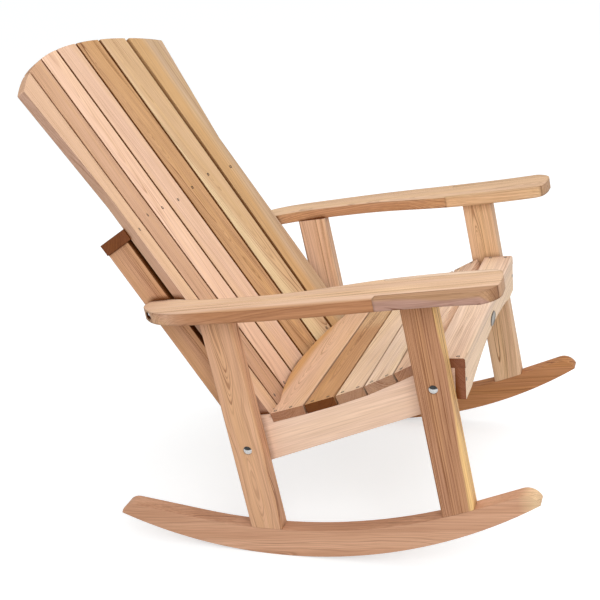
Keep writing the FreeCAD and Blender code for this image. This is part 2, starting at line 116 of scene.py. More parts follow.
# %% [markdown]
# Three more helpers start the graphs themselves. One makes a shader group with named sockets, one makes
# an empty material, and one turns a colour as it is seen on a screen into the values a shader needs.

# %% Helpers that start a group or a material
def new_group(name, ins, outs):
    """An empty shader group with named, typed sockets."""
    group = bpy.data.node_groups.new(name, "ShaderNodeTree")
    for label, kind, value in ins:
        socket = group.interface.new_socket(label, in_out="INPUT", socket_type="NodeSocket" + kind)
        socket.default_value = value
    for label, kind in outs:
        group.interface.new_socket(label, in_out="OUTPUT", socket_type="NodeSocket" + kind)
    return group


def new_material(name):
    """An empty node material and its tree."""
    material = bpy.data.materials.new(name)
    material.use_nodes = True
    material.node_tree.nodes.clear()
    return material, material.node_tree


def colour(red, green, blue):
    """A colour written as it is seen, 0 to 255, turned into the light values a shader needs."""
    return (*[((v / 255 + 0.055) / 1.055) ** 2.4 for v in (red, green, blue)], 1.0)


print("a middle grey as light:", round(colour(128, 128, 128)[0], 3))

# %% [markdown]
# ## Which way the grain runs
# A board is cut along the trunk, so its grain follows its length. Each board's three directions are read
# from its mesh: the spread of its faces is greatest along the grain and least through the thickness.
# They are then turned to point the same way on every board: to the left, back or up along the grain, and
# towards the front, the top or the right-hand side through the thickness.

# %% Measure the directions of every board
grain_points_to = Vector((1.0, 0.3, 0.6))
face_points_to = Vector((-0.2, -0.5, 1.0))


def board_axes(node):
    """Centre, length, width and thickness directions of a board, from its faces."""
    centres = np.array([p.center[:] for p in node.data.polygons])
    areas = np.array([p.area for p in node.data.polygons])
    middle = (centres * areas[:, None]).sum(0) / areas.sum()
    spread = ((centres - middle) * areas[:, None]).T @ (centres - middle)
    vectors = np.linalg.eigh(spread)[1]
    length, thin = Vector(vectors[:, 2]), Vector(vectors[:, 0])
    thin = thin if thin.dot(face_points_to) > 0 else -thin
    length = length if length.dot(grain_points_to) > 0 else -length
    return Vector(middle), length, thin.cross(length), thin


metal_names = ("carriage_bolts", "bolt_washers", "bolt_nuts", "arm_bolts", "rocker_lag_screws")
boards = {name: board_axes(node) for name, node in nodes.items() if name not in metal_names}
print("boards measured:", len(boards))

# %% [markdown]
# ## Cedar as a solid
# Real boards show growth rings cut by the saw: stripes where the cut runs across the rings, tall arches
# where it grazes them, and arcs on the ends. A picture wrapped round a board would not agree at its
# edges, but a solid pattern gives all three at once. It is built once, as a group, and each board's
# material places it with its own colours, ring width and heart.

# %% Group: cedar rings, its sockets
cedar = new_group(
    "cedar_rings",
    [("Board", "Vector", (0, 0, 0)), ("Early", "Color", (0.7, 0.5, 0.36, 1)),
     ("Late", "Color", (0.55, 0.33, 0.2, 1)), ("Streak", "Color", (0.75, 0.55, 0.35, 1)),
     ("Sap", "Color", (0.8, 0.65, 0.4, 1)), ("Sap Axis", "Vector", (0, 1, 0)),
     ("Sap From", "Float", 9.0), ("Sap To", "Float", 10.0), ("Ring", "Float", 0.004),
     ("Heart Y", "Float", 0.05), ("Heart Z", "Float", 0.05), ("Tilt", "Float", 0.0),
     ("Wander", "Float", 0.01), ("Late Strength", "Float", 0.5), ("Streak Strength", "Float", 0.4),
     ("Seed", "Float", 0.0), ("End", "Float", 0.0), ("End Tint", "Color", (0.5, 0.36, 0.3, 1)),
     ("Side", "Float", 0.0), ("Side Shade Tint", "Color", (1, 1, 1, 1))],
    [("Color", "Color"), ("Roughness", "Float"), ("Height", "Float")])
wood_in = cedar.nodes.new("NodeGroupInput").outputs
wood_out = cedar.nodes.new("NodeGroupOutput").inputs
print("cedar group sockets:", len(cedar.interface.items_tree))

# %% [markdown]
# Everything irregular in the wood comes from noise that is stretched along the board, because a tree
# changes slowly along its trunk and quickly across it. Each board has a seed, which moves the noise to a
# place of its own, so that no two boards are alike. The scale says how often the noise changes in a
# metre along, across and through the board. The first noise is slow and will bend the trunk's heart.

# %% Noise that follows the grain
seed_directions = (1.0, 1.7, 0.6)


def grain_noise(scale, detail, shift, roughness=0.5):
    """Noise stretched along the board and moved by the board's seed."""
    seeded = vector(cedar, "MULTIPLY", wood_in["Board"], scale)
    moves = {axis: calc(cedar, "MULTIPLY", wood_in["Seed"], shift * part)
             for axis, part in enumerate(seed_directions)}
    away = put(cedar, "ShaderNodeCombineXYZ", moves).outputs[0]
    return put(cedar, "ShaderNodeTexNoise", {"Vector": vector(cedar, "ADD", seeded, away), "Scale": 1.0,
                                             "Detail": detail, "Roughness": roughness}).outputs


def centred(value):
    """Noise that runs from 0 to 1, moved to swing about zero."""
    return calc(cedar, "SUBTRACT", value, 0.5)


bend_noise = grain_noise(scale=(4.0, 12.0, 12.0), detail=1.5, shift=7.31)["Color"]
bend = put(cedar, "ShaderNodeSeparateColor", {0: bend_noise}).outputs
print("nodes with the first noise:", len(cedar.nodes))

# %% [markdown]
# ## How far from the heart
# A ring is a shell round the heart of the trunk, so the pattern starts with a point's distance from the
# heart. The heart leans a little against the board, which draws the arches, and the slow noise bends it.

# %% Distance from the heart of the trunk
place = put(cedar, "ShaderNodeSeparateXYZ", {0: wood_in["Board"]}).outputs
shift_y = calc(cedar, "MULTIPLY", centred(bend[0]), wood_in["Wander"])
shift_z = calc(cedar, "MULTIPLY", centred(bend[1]), wood_in["Wander"])
lean = calc(cedar, "MULTIPLY", place[0], wood_in["Tilt"])
bent_y = calc(cedar, "ADD", place[1], shift_y)
bent_z = calc(cedar, "ADD", place[2], calc(cedar, "ADD", shift_z, lean))
heart_y = calc(cedar, "SUBTRACT", bent_y, wood_in["Heart Y"])
heart_z = calc(cedar, "SUBTRACT", bent_z, wood_in["Heart Z"])
from_heart = put(cedar, "ShaderNodeCombineXYZ", {0: heart_y, 1: heart_z}).outputs[0]
radius = vector(cedar, "LENGTH", from_heart, result=1)
print("nodes up to the distance:", len(cedar.nodes))

# %% [markdown]
# ## Uneven years
# Good and bad summers make wide and narrow rings, and a ring is never quite round. So the distance is
# divided by the ring's width, and two noises are added: one that depends on the distance alone, for the
# years, and one that ripples along the board. The whole part then numbers the year, and the rest says
# how far through that year the point lies.

# %% Count the years
years_scale, years_share = 70.0, 3.0
ripple_share = 0.9
years_place = calc(cedar, "MULTIPLY_ADD", radius, years_scale, wood_in["Seed"])
years = put(cedar, "ShaderNodeTexNoise", {"W": years_place, "Detail": 1.0},
            noise_dimensions="1D").outputs["Fac"]
years_shift = calc(cedar, "MULTIPLY", years, years_share)
ripple = grain_noise(scale=(6.0, 80.0, 80.0), detail=2.0, shift=3.17)["Fac"]
uneven = calc(cedar, "MULTIPLY_ADD", centred(ripple), ripple_share, years_shift)
rings = calc(cedar, "ADD", calc(cedar, "DIVIDE", radius, wood_in["Ring"]), uneven)
year_number = calc(cedar, "ADD", calc(cedar, "FLOOR", rings), wood_in["Seed"])
year = put(cedar, "ShaderNodeTexWhiteNoise", {"W": year_number}, noise_dimensions="1D").outputs["Value"]
print("nodes up to the years:", len(cedar.nodes))

# %% [markdown]
# ## Late wood
# In spring a cedar grows pale, soft wood, and towards autumn a thin dark line. A colour ramp draws that
# rise and fall within one year. Each year's line has its own strength, and the lines fade in and out
# along the board.

# %% Late wood within a year
late_at_ring_ends = 0.25
late_through_year = ((0.22, 0.0), (0.6, 0.25), (0.84, 1.0), (0.93, 0.85))
weakest_year, year_range = 0.3, 0.9
fade_from, fade_to = 0.3, 0.65
faint_line, full_line = 0.35, 1.1
late = put(cedar, "ShaderNodeValToRGB", {"Fac": calc(cedar, "FRACT", rings)})
stops = late.color_ramp.elements
stops[0].color = (late_at_ring_ends,) * 3 + (1,)
stops[1].color = (late_at_ring_ends,) * 3 + (1,)
for position, darkness in late_through_year:
    stops.new(position).color = (darkness,) * 3 + (1,)
fading = grain_noise(scale=(3.0, 26.0, 26.0), detail=1.0, shift=9.4)["Fac"]
fade = remap(cedar, fading, fade_from, fade_to, faint_line, full_line)
year_strength = calc(cedar, "MULTIPLY_ADD", year, year_range, weakest_year)
strong = calc(cedar, "MULTIPLY", year_strength, fade)
line = calc(cedar, "MULTIPLY", late.outputs[0], strong)
late_mask = calc(cedar, "MULTIPLY", line, wood_in["Late Strength"])
print("stops in the late wood ramp:", len(stops))

# %% [markdown]
# ## Streaks and sapwood
# Long faint streaks of another tone run through the heartwood. The outer wood of a trunk, the sapwood,
# has a colour of its own and lies along one side or one end of some boards. Its limit is a distance along
# one of the board's directions, with a slow wobble. The default limit is metres away, so a board without
# sapwood leaves it alone.

# %% Streaks and sapwood
sap_wobble = 0.03
streak_from, streak_to = 0.42, 0.66
streak_noise = grain_noise(scale=(1.1, 30.0, 30.0), detail=3.0, shift=5.93, roughness=0.6)["Fac"]
streak = remap(cedar, streak_noise, streak_from, streak_to)
streak_mask = calc(cedar, "MULTIPLY", streak, wood_in["Streak Strength"])
wobble = calc(cedar, "MULTIPLY", centred(bend[2]), sap_wobble)
towards_sap = vector(cedar, "DOT_PRODUCT", wood_in["Board"], wood_in["Sap Axis"], 1)
sap_place = calc(cedar, "ADD", towards_sap, wobble)
sap_mask = remap(cedar, sap_place, wood_in["Sap From"], wood_in["Sap To"])
heartwood = blend(cedar, streak_mask, wood_in["Early"], wood_in["Streak"])
plain_wood = blend(cedar, sap_mask, heartwood, wood_in["Sap"])
lined_wood = blend(cedar, late_mask, plain_wood, wood_in["Late"])
print("nodes up to the sapwood:", len(cedar.nodes))

# %% [markdown]
# ## Fibres, sides and ends
# Close up, cedar is made of fine fibres, about a millimetre wide and some centimetres long. They shade
# the colour a little, more in blue than in red, so dark fibres look warmer. The narrow sides of a board
# get a darker tint that is painted shade, and its ends have a tint of their own: end grain takes in oil
# and dirt and goes dark.

# %% Fibres, painted shade on the sides and the tint of the ends
fibre_from, fibre_to = 0.25, 0.75
dark_fibre, light_fibre = 0.80, 1.12
dark_year, light_year = 0.96, 1.04
red_power, blue_power = 0.8, 1.25
fibre = grain_noise(scale=(9.0, 420.0, 420.0), detail=2.5, shift=11.1, roughness=0.65)["Fac"]
fibre_tone = remap(cedar, fibre, fibre_from, fibre_to, dark_fibre, light_fibre)
year_tone = remap(cedar, year, 0.0, 1.0, dark_year, light_year)
tone = calc(cedar, "MULTIPLY", fibre_tone, year_tone)
red_tone = calc(cedar, "POWER", tone, red_power)
blue_tone = calc(cedar, "POWER", tone, blue_power)
shade = put(cedar, "ShaderNodeCombineXYZ", {0: red_tone, 1: tone, 2: blue_tone}).outputs[0]
broad_face = blend(cedar, 1.0, lined_wood, shade, "MULTIPLY")
# The side tint darkens the narrow sides of a board: painted shade.
shaded_narrow_face = blend(cedar, 1.0, broad_face, wood_in["Side Shade Tint"], "MULTIPLY")
face = blend(cedar, wood_in["Side"], broad_face, shaded_narrow_face)
sawn = blend(cedar, 1.0, face, wood_in["End Tint"], "MULTIPLY")
cedar.links.new(blend(cedar, wood_in["End"], face, sawn), wood_out["Color"])
print("nodes up to the colour:", len(cedar.nodes))

# %% [markdown]
# The same masks say how rough the wood is and how high it stands. Late wood is harder, so it takes a
# slightly better polish and stands a little proud after sanding, and sawn ends stay rough.

# %% Roughness and height of the wood
plain_rough, late_rough = 0.5, -0.08
fibre_rough, end_rough = 0.16, 0.15
late_height, fibre_height = 0.6, 0.5
smooth = calc(cedar, "MULTIPLY_ADD", late_mask, late_rough, plain_rough)
planed = calc(cedar, "MULTIPLY_ADD", fibre, fibre_rough, smooth)
cedar.links.new(calc(cedar, "MULTIPLY_ADD", wood_in["End"], end_rough, planed), wood_out["Roughness"])
fibres_up = calc(cedar, "MULTIPLY", fibre, fibre_height)
cedar.links.new(calc(cedar, "MULTIPLY_ADD", late_mask, late_height, fibres_up), wood_out["Height"])
print("cedar group nodes:", len(cedar.nodes))

# %% [markdown]
# ## From the room to the board
# The rings need a point's place inside its own board. This second group measures it along the board's
# length, width and thickness, and also says where the surface is an end, sawn across the grain, and where
# it is the narrow side of the board, which shows the rings at another slant and takes a painted shade.

# %% Group: a board's own directions
facing_from, facing_to = 0.55, 0.9
board_directions = ("Length", "Width", "Thickness")
directions = new_group(
    "board_directions",
    [("Position", "Vector", (0, 0, 0)), ("Normal", "Vector", (0, 0, 1)), ("Centre", "Vector", (0, 0, 0)),
     ("Length", "Vector", (1, 0, 0)), ("Width", "Vector", (0, 1, 0)), ("Thickness", "Vector", (0, 0, 1))],
    [("Board", "Vector"), ("End", "Float"), ("Side", "Float")])
room_in = directions.nodes.new("NodeGroupInput").outputs
board_out = directions.nodes.new("NodeGroupOutput").inputs
local = vector(directions, "SUBTRACT", room_in["Position"], room_in["Centre"])
parts = [vector(directions, "DOT_PRODUCT", local, room_in[axis], 1) for axis in board_directions]
board_place = put(directions, "ShaderNodeCombineXYZ", dict(enumerate(parts))).outputs[0]
directions.links.new(board_place, board_out["Board"])
for label, axis in (("End", "Length"), ("Side", "Width")):
    along = vector(directions, "DOT_PRODUCT", room_in["Normal"], room_in[axis], 1)
    faces_it = remap(directions, calc(directions, "ABSOLUTE", along), facing_from, facing_to)
    directions.links.new(faces_it, board_out[label])
print("direction group nodes:", len(directions.nodes))

# %% [markdown]
# ## Painted shade in the gaps
# Hardly any light gets in between two slats, so the gaps read as a deep brown. This group paints that
# shade into the colour. It takes how open a point is to its surroundings, where 1 is in the open, and
# darkens it towards a deep brown the more it is closed in.

# %% Group: painted shade in the crevices
open_enough, closed_in = 0.94, 0.68
crevice = new_group(
    "crevice_stain",
    [("Color", "Color", (0.7, 0.5, 0.36, 1)), ("Open", "Float", 1.0), ("Strength", "Float", 1.0),
     ("Painted Shade", "Color", colour(108, 58, 22))],
    [("Color", "Color")])
crevice_in = crevice.nodes.new("NodeGroupInput").outputs
crevice_out = crevice.nodes.new("NodeGroupOutput").inputs
# The shade of closed-in places is painted into the colour here; the lamps do not cast it.
closed = remap(crevice, crevice_in["Open"], open_enough, closed_in)
stain_mask = calc(crevice, "MULTIPLY", closed, crevice_in["Strength"])
stained_wood = blend(crevice, stain_mask, crevice_in["Color"], crevice_in["Painted Shade"])
crevice.links.new(stained_wood, crevice_out["Color"])
print("crevice group nodes:", len(crevice.nodes))

# %% [markdown]
# ## A material for each board
# Every board came from another tree, so each gets its own colours, ring width and place in the trunk.
# The heart of the trunk is given in millimetres from the board's middle: near one face it draws tall
# arches, far to one side it draws straight stripes. First the wood itself: the direction group feeds
# the ring group, and the recipe's values go into its sockets.

# %% The wood of one board
def cedar_wood(tree, name, values, ends):
    """The two groups that give one board its rings, placed and linked."""
    where = tree.nodes.new("ShaderNodeTexCoord").outputs
    turn = put(tree, "ShaderNodeGroup", node_tree=directions)
    for label, value in zip(("Centre", *board_directions), boards[name]):
        turn.inputs[label].default_value = value
    tree.links.new(where["Object"], turn.inputs["Position"])
    tree.links.new(where["Normal"], turn.inputs["Normal"])
    wood = put(tree, "ShaderNodeGroup", node_tree=cedar)
    tree.links.new(turn.outputs["Board"], wood.inputs["Board"])
    tree.links.new(calc(tree, "MULTIPLY", turn.outputs["End"], ends), wood.inputs["End"])
    tree.links.new(turn.outputs["Side"], wood.inputs["Side"])
    for label, value in values.items():
        wood.inputs[label].default_value = value
    return wood.outputs


print("wood helper ready")

# %% [markdown]
# Then the surface. The painted shade looks about a centimetre round each point for anything that closes it
# in.
# The Bevel node rounds the edges in the shading alone, as sandpaper does: by under two millimetres, and
# on the arms by seven. A Bump node raises the fibres and the late wood by a fraction of a millimetre.
# Bare cedar has hardly any shine, so its specular level is low.

# %% Cedar material from a recipe
stain_reach = 0.012
stain_rays, edge_rays = 6, 4
bump_strength, bump_height = 0.3, 0.0005
bare_wood_shine = 0.12


def cedar_material(name, early, late, streak, ring, heart, tilt=0.0, wander=12, lines=1.0, streaks=0.5,
                   sap=None, ends=1.0, end_tint=(0.5, 0.36, 0.3), side_tint=(1, 1, 1), edge=1.8, stain=1.0,
                   seed=0.0):
    """One board's cedar; sizes in millimetres."""
    material, tree = new_material("cedar_" + name)
    values = {"Early": colour(*early), "Late": colour(*late), "Streak": colour(*streak),
              "Ring": ring / 1000, "Heart Y": heart[0] / 1000, "Heart Z": heart[1] / 1000, "Tilt": tilt,
              "Wander": wander / 1000, "Late Strength": lines, "Streak Strength": streaks, "Seed": seed,
              "End Tint": (*end_tint, 1), "Side Shade Tint": (*side_tint, 1)}
    if sap:
        tint, axis, start, stop = sap
        values.update({"Sap": colour(*tint), "Sap Axis": axis})
        values.update({"Sap From": start / 1000, "Sap To": stop / 1000})
    wood = cedar_wood(tree, name, values, ends)
    # Ambient occlusion drives the painted shade in the gaps and where boards meet.
    around = put(tree, "ShaderNodeAmbientOcclusion", {"Distance": stain_reach}, samples=stain_rays)
    stained = put(tree, "ShaderNodeGroup", {"Color": wood["Color"], "Open": around.outputs["AO"],
                                             "Strength": stain}, node_tree=crevice)
    soft = put(tree, "ShaderNodeBevel", {"Radius": edge / 1000}, samples=edge_rays)
    relief = put(tree, "ShaderNodeBump", {"Strength": bump_strength, "Distance": bump_height,
                                          "Height": wood["Height"], "Normal": soft.outputs[0]})
    surface = put(tree, "ShaderNodeBsdfPrincipled", {"Base Color": stained.outputs["Color"],
                                                     "Roughness": wood["Roughness"],
                                                     "Normal": relief.outputs[0],
                                                     "Specular IOR Level": bare_wood_shine})
    put(tree, "ShaderNodeOutputMaterial", {0: surface.outputs[0]})
    return material


def dress(name, material):
    """Give a CAD node its material."""
    node = nodes[name]
    if not node.material_slots:
        node.data.materials.append(material)
    for slot in node.material_slots:
        slot.material = material


print("recipe ready")

# %% [markdown]
# ## Choosing the boards
# Cedar runs from pale pink to golden tan. Each board is written as its own recipe: the pale early wood,
# how far the late wood is darker, the ring width, the heart's place, and what is special about it.
# Neighbouring boards differ on purpose, as on the real chair. Sapwood is given as its colour, the
# direction it lies in, and where it starts and is complete, in millimetres from the board's middle.

# %% Cedar for the back
LENGTH, WIDTH, THICK = (1, 0, 0), (0, 1, 0), (0, 0, 1)
recipes = {
    # The side tint of this slat is painted shade on its narrow sides.
    "right_back_slat_outer": dict(early=(240, 200, 168), late=0.16, ring=5, heart=(70, 30), tilt=0.02,
                                  side_tint=(0.66, 0.62, 0.66)),
    "right_back_slat_middle": dict(early=(224, 180, 148), late=0.26, ring=5, heart=(-90, 60)),
    "right_back_slat_inner": dict(early=(246, 206, 178), late=0.12, ring=7, heart=(20, 60), tilt=0.02),
    "back_slat_centre": dict(early=(238, 199, 172), late=0.12, ring=6, heart=(-60, 50), tilt=0.02),
    "left_back_slat_inner": dict(early=(214, 168, 124), late=0.34, ring=4, heart=(4, 16), tilt=0.04,
                                 wander=30, lines=1.2),
    "left_back_slat_middle": dict(early=(220, 184, 146), late=0.2, ring=6, heart=(-4, 22), tilt=0.05,
                                  wander=24, lines=1.2, sap=((238, 212, 168), WIDTH, 5, 30)),
    "left_back_slat_outer": dict(early=(208, 178, 150), late=0.2, ring=6, heart=(60, 40), tilt=0.02,
                                 streaks=0.9, sap=((214, 172, 122), WIDTH, -12, 10)),
    "upper_back_rail": dict(early=(176, 124, 86), late=0.25, ring=6, heart=(50, 50)),
    "lower_back_rail": dict(early=(190, 140, 104), late=0.25, ring=6, heart=(50, 50)),
    "right_back_stile": dict(early=(218, 168, 132), late=0.3, ring=5, heart=(70, 40)),
    "left_back_stile": dict(early=(206, 158, 124), late=0.26, ring=5, heart=(70, 40)),
}
print("boards in the back:", len(recipes))

# %% [markdown]
# Most seat slats are among the palest boards of the chair. The first, at the back, has a golden edge, and
# the second is brown with a paler end.

# %% Cedar for the seat and the apron
recipes.update({
    "seat_slat_1": dict(early=(240, 202, 172), late=0.2, ring=5, heart=(8, 22), tilt=0.06, wander=26,
                        sap=((226, 176, 118), WIDTH, 24, 40)),
    "seat_slat_2": dict(early=(210, 164, 122), late=0.28, ring=4, heart=(6, 18), tilt=0.05, wander=30,
                        end_tint=(0.26, 0.14, 0.07), sap=((228, 192, 148), LENGTH, 60, 120)),
    "seat_slat_3": dict(early=(244, 216, 188), late=0.2, ring=5, heart=(40, 30), tilt=0.03),
    "seat_slat_4": dict(early=(250, 226, 202), late=0.2, ring=5, heart=(-50, 30), tilt=0.03),
    "seat_slat_5": dict(early=(248, 216, 190), late=0.22, ring=5, heart=(30, 40), tilt=0.03),
    "seat_slat_6": dict(early=(246, 216, 192), late=0.18, ring=6, heart=(-70, 40), tilt=0.02,
                        end_tint=(0.3, 0.16, 0.12)),
    "front_apron": dict(early=(255, 224, 194), late=0.18, ring=7, heart=(50, 40), tilt=0.02,
                        end_tint=(0.3, 0.16, 0.12)),
})
print("with the seat:", len(recipes))

# %% [markdown]
# Each arm is a broad board with narrower strips glued to its front part. The strips come from other
# boards, so the glue lines show as a change of colour and of grain.

# %% Cedar for the arms
recipes.update({
    # The arms' side tints are painted shade on their narrow sides.
    "right_arm": dict(early=(232, 196, 168), late=0.26, ring=7, heart=(90, -20), tilt=0.03, lines=0.75,
                      ends=0.5, side_tint=(0.84, 0.72, 0.66), edge=7, streaks=0.8,
                      sap=((204, 156, 116), WIDTH, 30, 44)),
    "left_arm": dict(early=(232, 196, 164), late=0.24, ring=7, heart=(20, -20), tilt=0.04, wander=26,
                     ends=0.5, side_tint=(0.8, 0.66, 0.56), edge=7),
    "right_arm_outer_strip": dict(early=(194, 152, 118), late=0.34, ring=6, heart=(20, -70), ends=0.6,
                                  edge=7, sap=((190, 150, 134), THICK, -4, -7)),
    "left_arm_outer_strip": dict(early=(220, 184, 150), late=0.2, ring=6, heart=(20, -30), edge=7),
    "right_arm_inner_strip": dict(early=(236, 206, 180), late=0.2, ring=6, heart=(80, 40), edge=7),
    "left_arm_inner_strip": dict(early=(230, 190, 152), late=0.2, ring=6, heart=(80, 40), edge=7),
})
print("with the arms:", len(recipes))

# %% [markdown]
# The frame is mostly plain boards, pink or tan, and the rockers are browner. The right front leg has a
# bright golden edge, and the right rocker turns paler at its front end.

# %% Cedar for the legs, rails and rockers
recipes.update({
    "right_front_leg": dict(early=(204, 152, 112), late=0.34, ring=7, heart=(-90, 30), wander=8, lines=1.1,
                            streaks=0.6, streak=(194, 144, 118), sap=((250, 206, 142), WIDTH, -26, -30)),
    "left_front_leg": dict(early=(238, 200, 164), late=0.26, ring=6, heart=(12, 24), tilt=0.05, wander=20),
    "right_rear_leg": dict(early=(226, 178, 144), late=0.24, ring=4.5, heart=(4, 26), tilt=0.05, wander=46),
    "left_rear_leg": dict(early=(238, 202, 174), late=0.22, ring=5, heart=(50, 40), tilt=0.02),
    "right_rocker": dict(early=(210, 160, 128), late=0.3, ring=7, heart=(60, 60), tilt=0.03, wander=34,
                         lines=0.6, ends=0.2, streaks=0.9, streak=(228, 180, 148),
                         sap=((240, 206, 164), LENGTH, -392, -424)),
    "left_rocker": dict(early=(200, 142, 98), late=0.34, ring=7, heart=(24, 24), tilt=0.03, wander=30,
                        ends=0.2),
    "right_side_rail": dict(early=(244, 209, 186), late=0.1, ring=8, heart=(80, 50), tilt=0.03, wander=30,
                            lines=0.45, streaks=0.3),
    "left_side_rail": dict(early=(232, 192, 160), late=0.16, ring=7, heart=(80, 50), tilt=0.02),
})
print("with the frame:", len(recipes), "without a recipe:", sorted(set(boards) - set(recipes)))

# %% [markdown]
# ## Dressing the chair
# Late wood is the early wood's colour, deeper and redder, so a recipe only says how much. Streaks are a
# little yellower unless the recipe gives their colour. The painted shade in the gaps is darkest in the back
# and the arms; the seat, the legs and the side rails take less of it, and the rockers none. Each board's
# seed is a step further on than the last one's.

# %% Dress every board
late_depth = 1.6
late_by_channel = (0.75, 1.0, 1.2)
streak_by_channel = (4, 3, -14)
first_seed, seed_step = 1.0, 1.37
back_slat_ends = 0.3
# How strongly each kind of board takes the painted shade of its gaps.
seat_stain, frame_stain, rocker_stain = 0.5, 0.35, 0.0


def darker(tint, amount):
    """Late wood: the same colour, deeper and redder."""
    return tuple(round(v * (1 - amount * k)) for v, k in zip(tint, late_by_channel))


def warmer(tint):
    """A streak that is a little yellower than the wood round it."""
    return tuple(min(255, v + step) for v, step in zip(tint, streak_by_channel))


for number, (name, recipe) in enumerate(sorted(recipes.items())):
    recipe.setdefault("streak", warmer(recipe["early"]))
    if "back_slat" in name:
        recipe["ends"] = back_slat_ends
    if "seat_slat" in name:
        recipe["stain"] = seat_stain
    elif "leg" in name or "side_rail" in name:
        recipe["stain"] = frame_stain
    elif "rocker" in name:
        recipe["stain"] = rocker_stain
    recipe["late"] = darker(recipe["early"], recipe["late"] * late_depth)
    dress(name, cedar_material(name, seed=first_seed + seed_step * number, **recipe))
print("boards dressed:", len(recipes))

# %% [markdown]
# ## Bright plated steel
# The bolt heads are polished and plated. A metal has no colour of its own apart from its tint, so it
# takes its look from the room; a little uneven roughness keeps it from looking like a mirror. The screws
# are darker and duller, and the plate on the apron is brushed from side to side.

# %% Plated steel
cloud_scale, cloud_detail = 300.0, 3.0
soil_from, soil_to = 0.35, 0.7
soiled, soil_amount = 0.7, 0.35


def steel_material(name, tint, low, high, stretch=(1, 1, 1)):
    """Metal with uneven roughness; the stretch draws the noise out into brush marks."""
    material, tree = new_material(name)
    where = tree.nodes.new("ShaderNodeTexCoord").outputs["Object"]
    cloud = put(tree, "ShaderNodeTexNoise", {"Vector": vector(tree, "MULTIPLY", where, stretch),
                                             "Scale": cloud_scale, "Detail": cloud_detail}).outputs["Fac"]
    soil_mask = remap(tree, cloud, soil_from, soil_to, 0.0, soil_amount)
    soil = blend(tree, soil_mask, colour(*tint), colour(*[v * soiled for v in tint]))
    surface = put(tree, "ShaderNodeBsdfPrincipled", {"Base Color": soil, "Metallic": 1.0,
                                                     "Roughness": remap(tree, cloud, 0.0, 1.0, low, high)})
    put(tree, "ShaderNodeOutputMaterial", {0: surface.outputs[0]})
    return material


bright_steel = steel_material("bright_steel", tint=(196, 194, 192), low=0.05, high=0.16)
screw_steel = steel_material("screw_steel", tint=(92, 96, 104), low=0.3, high=0.5)
plate_metal = steel_material("plate_metal", tint=(150, 143, 134), low=0.3, high=0.55, stretch=(0.2, 4, 4))
for name in metal_names:
    dress(name, screw_steel if name == "rocker_lag_screws" else bright_steel)
print("metal nodes:", len(metal_names))

# %% [markdown]
# ## Small screws
# The slats are held by small flat-headed screws with a recess in the middle. They are too small to matter
# to the strength of the model, so they are made here, as heads only. One head is modelled from a
# cylinder: its rim is bevelled, its top is inset, and the middle is pushed in to make a round recess.

# %% Model one screw head
screw_radius, screw_height = 0.0036, 0.0024
screw_rim, screw_inset, screw_recess = 0.0005, 0.0012, 0.0011
looks_up = 0.99


def pick_top(piece):
    """Select, among the faces that look up, the one with the most corners."""
    bpy.ops.mesh.select_all(action="DESELECT")
    bpy.ops.object.mode_set(mode="OBJECT")
    up_faces = [face for face in piece.data.polygons if face.normal.z > looks_up]
    max(up_faces, key=lambda face: (len(face.vertices), face.center.z)).select = True
    bpy.ops.object.mode_set(mode="EDIT")


bpy.ops.object.select_all(action="DESELECT")
bpy.ops.mesh.primitive_cylinder_add(vertices=20, radius=screw_radius, depth=screw_height,
                                    location=(0, 0, 0))
screw = bpy.context.object
screw.name = "screw_model"
bpy.ops.object.mode_set(mode="EDIT")
bpy.ops.mesh.select_mode(type="FACE")
pick_top(screw)
bpy.ops.mesh.bevel(offset=screw_rim, segments=2)
pick_top(screw)
bpy.ops.mesh.inset(thickness=screw_inset, depth=0.0)
bpy.ops.mesh.extrude_region_move(TRANSFORM_OT_translate={"value": (0, 0, -screw_recess)})
bpy.ops.mesh.select_all(action="SELECT")
bpy.ops.mesh.normals_make_consistent(inside=False)
bpy.ops.object.mode_set(mode="OBJECT")
screw.data.materials.append(screw_steel)
print("screw head faces:", len(screw.data.polygons))

# %% [markdown]
# Each copy has its own mesh and is set where a ray from the outside meets the board, square to the
# surface. The head is sunk until it stands only 0.3 mm above the wood.

# %% Helpers that set a piece on a board
screw_proud = 0.0003
screw_turn = Vector((1, 0.2, 0.1))
ray_start = 0.1
screws = []


def on_surface(name, point, outward):
    """Where a ray from outside meets a board, and which way the surface looks there."""
    hit, place, normal, _ = nodes[name].ray_cast(point + outward * ray_start, -outward)
    return (place, normal) if hit else None


def stand(piece, place, normal, across):
    """Turn a piece's mesh so that its Z lies along the normal and its X along a direction."""
    side = (across - normal * across.dot(normal)).normalized()
    turned = Matrix((side, normal.cross(side), normal)).transposed()
    piece.data.transform(Matrix.Translation(place) @ turned.to_4x4())
    piece.data.update()


def add_screw(name, point, outward):
    """One head on a named board, near a point."""
    found = on_surface(name, point, outward)
    if found is None:
        print("no surface for a screw on", name)
        return
    place, normal = found
    piece = bpy.data.objects.new("screw_%02d" % (len(screws) + 1), screw.data.copy())
    bpy.context.scene.collection.objects.link(piece)
    stand(piece, place + normal * (screw_proud - screw_height / 2), normal, screw_turn)
    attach(piece, "root")
    screws.append(piece)


def middle_of(name):
    """The middle of a node's box."""
    low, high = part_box(name)
    return (Vector(low) + Vector(high)) / 2


print("middle of the upper rail:", [round(v, 3) for v in middle_of("upper_back_rail")])

# %% [markdown]
# A back slat has one screw at each of the two rails behind it. A seat slat has two at each side rail, and
# the apron has one at each side rail.

